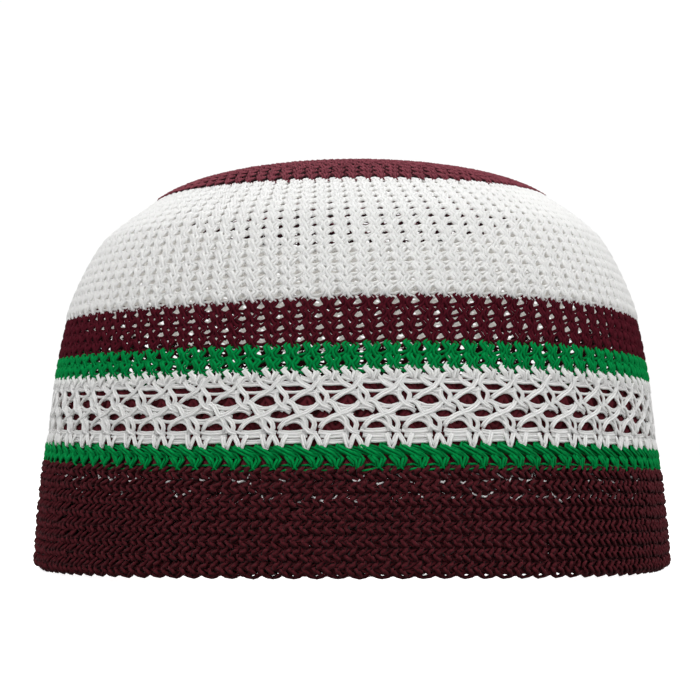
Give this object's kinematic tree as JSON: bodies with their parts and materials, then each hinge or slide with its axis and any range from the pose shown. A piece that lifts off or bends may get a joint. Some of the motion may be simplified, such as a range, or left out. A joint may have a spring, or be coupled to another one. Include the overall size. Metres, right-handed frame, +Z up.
{
  "type": "knitted kufi cap",
  "caption": "Round brimless knitted cap in maroon, white and green bands with an open lace panel and a rim turned up inside, open below for a head.",
  "frame": {"origin": "centre of the rim's circle on the surface that the cap stands on", "axes": "+Z up through the crown, -Y the front of the cap, +X to the right seen from the front"},
  "size_m": [0.1818, 0.1818, 0.114],
  "materials": {
    "maroon_yarn": "soft two-strand knitting yarn, matt, deep maroon",
    "green_yarn": "soft two-strand knitting yarn, faint sheen, grass green",
    "white_yarn": "soft two-strand knitting yarn, matt, white"
  },
  "bodies": {
    "root": {"crown": "maroon_yarn", "dome": "white_yarn", "upper_band": "maroon_yarn", "upper_stripe": "green_yarn", "lace_panel": "white_yarn", "lower_stripe": "green_yarn", "rim_band": "maroon_yarn", "inner_band": "maroon_yarn"}
  },
  "joints": []
}
